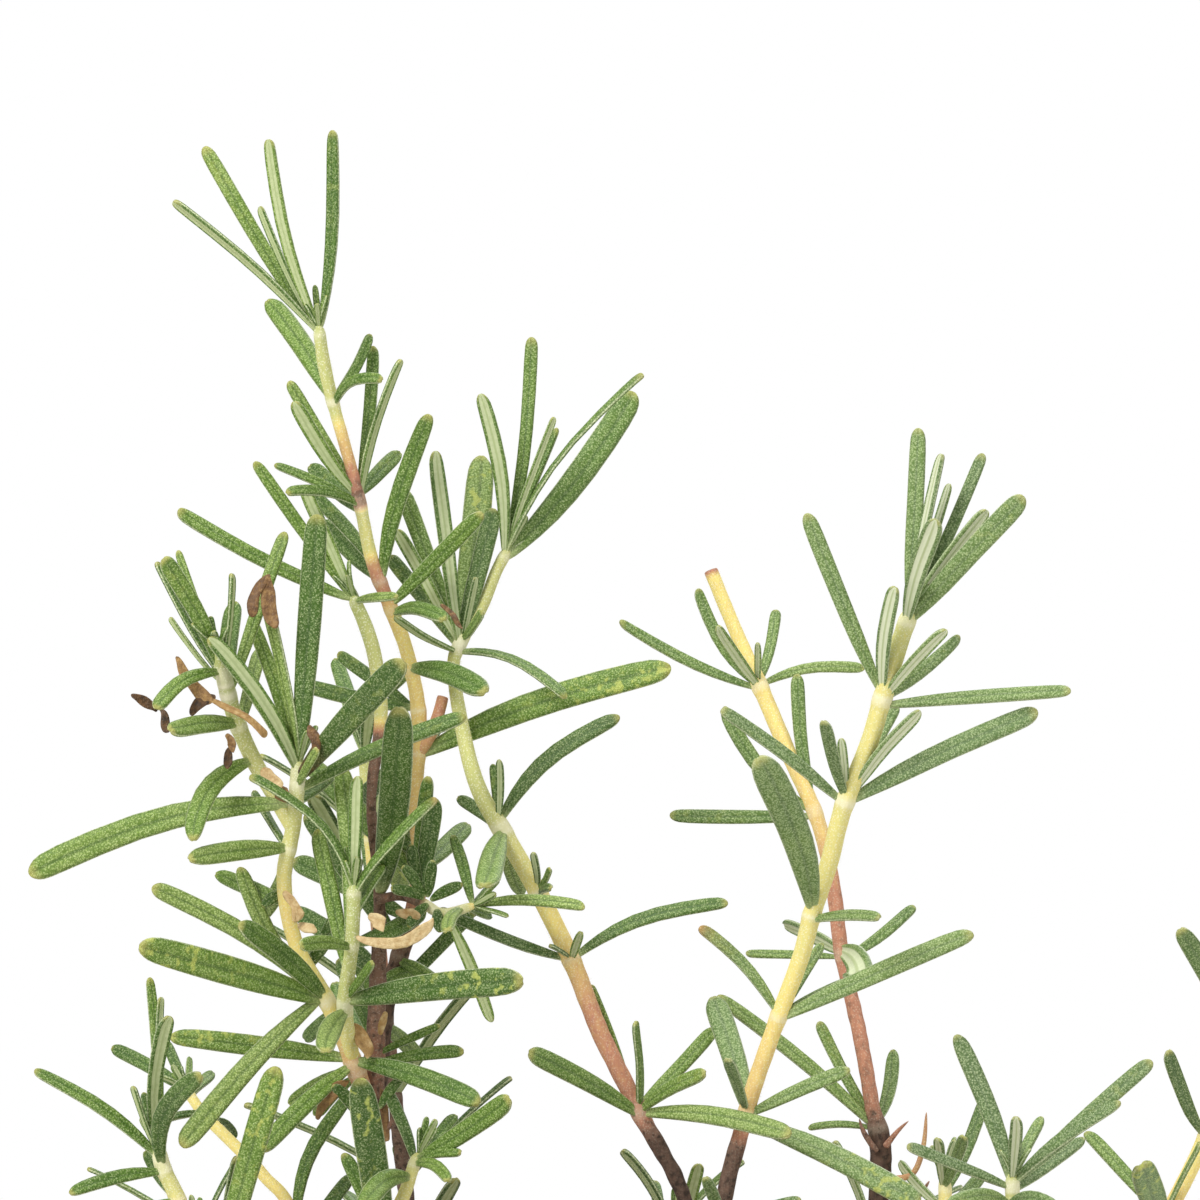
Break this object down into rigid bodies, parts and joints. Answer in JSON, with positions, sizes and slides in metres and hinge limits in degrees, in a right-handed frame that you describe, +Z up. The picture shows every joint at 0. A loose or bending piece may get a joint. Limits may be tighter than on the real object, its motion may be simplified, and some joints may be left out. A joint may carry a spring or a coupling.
{
  "type": "potted rosemary plant",
  "caption": "Potted rosemary plant with several leafy upright shoots of narrow leaves, growing from soil in a plain round tapered pot.",
  "frame": {"origin": "centre of the pot's flat underside", "axes": "+Z up along the pot's axis; the plant's front, as pictured, faces -Y; +X is to the viewer's right"},
  "size_m": [0.1734, 0.1238, 0.2737],
  "materials": {
    "foliage": "matte green leaves",
    "pot": "matte terracotta coloured plastic",
    "soil": "damp crumbly soil"
  },
  "bodies": {
    "root": {"tall_left_shoot": "foliage", "middle_shoot": "foliage", "right_shoot": "foliage", "cut_shoot": "foliage", "front_left_shoot": "foliage", "low_left_shoot": "foliage", "yellow_stemmed_shoot": "foliage", "low_front_shoot": "foliage", "low_right_shoot": "foliage", "short_right_shoot": "foliage", "edge_shoot": "foliage", "back_left_shoot": "foliage", "back_middle_shoot": "foliage", "back_right_shoot": "foliage", "far_right_shoot": "foliage", "far_left_shoot": "foliage", "left_edge_shoot": "foliage", "front_right_shoot": "foliage", "front_middle_shoot": "foliage", "front_edge_shoot": "foliage", "pot": "pot", "soil": "soil"}
  },
  "joints": []
}
